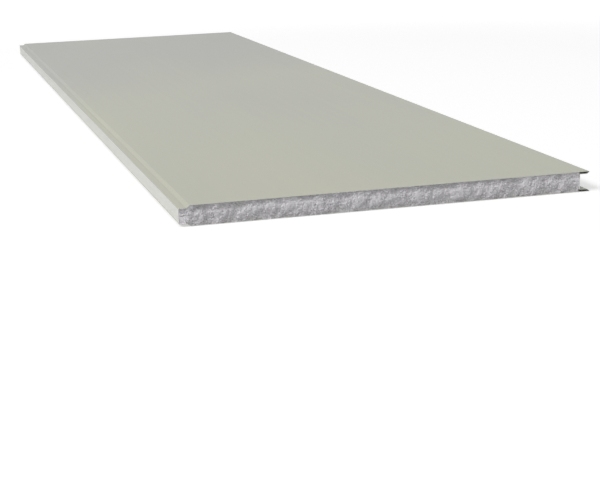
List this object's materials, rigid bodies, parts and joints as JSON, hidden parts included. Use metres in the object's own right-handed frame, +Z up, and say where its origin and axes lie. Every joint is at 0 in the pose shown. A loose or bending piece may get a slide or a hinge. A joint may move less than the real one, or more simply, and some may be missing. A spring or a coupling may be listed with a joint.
{
  "type": "polystyrene sandwich panel",
  "caption": "Flat insulated building panel: painted steel facings bonded to an expanded polystyrene core, with a roll-formed tongue and groove along the long edges.",
  "frame": {"origin": "middle of the flat lower face: halfway along the length and halfway across the cover width, which runs from the tongue's shoulder to the shoulder of the next panel, 2.9 mm past the tips of the groove's ears", "axes": "+X across the panel from the tongue edge to the groove edge, +Y along its length, +Z up from the lower face to the upper face"},
  "size_m": [1.0241, 4, 0.05],
  "materials": {
    "painted_facing": "smooth satin grey-white coil coating",
    "polystyrene": "expanded bead foam, cut and crumbled at the ends"
  },
  "bodies": {
    "root": {"upper_facing": "painted_facing", "lower_facing": "painted_facing", "core": "polystyrene"}
  },
  "joints": []
}
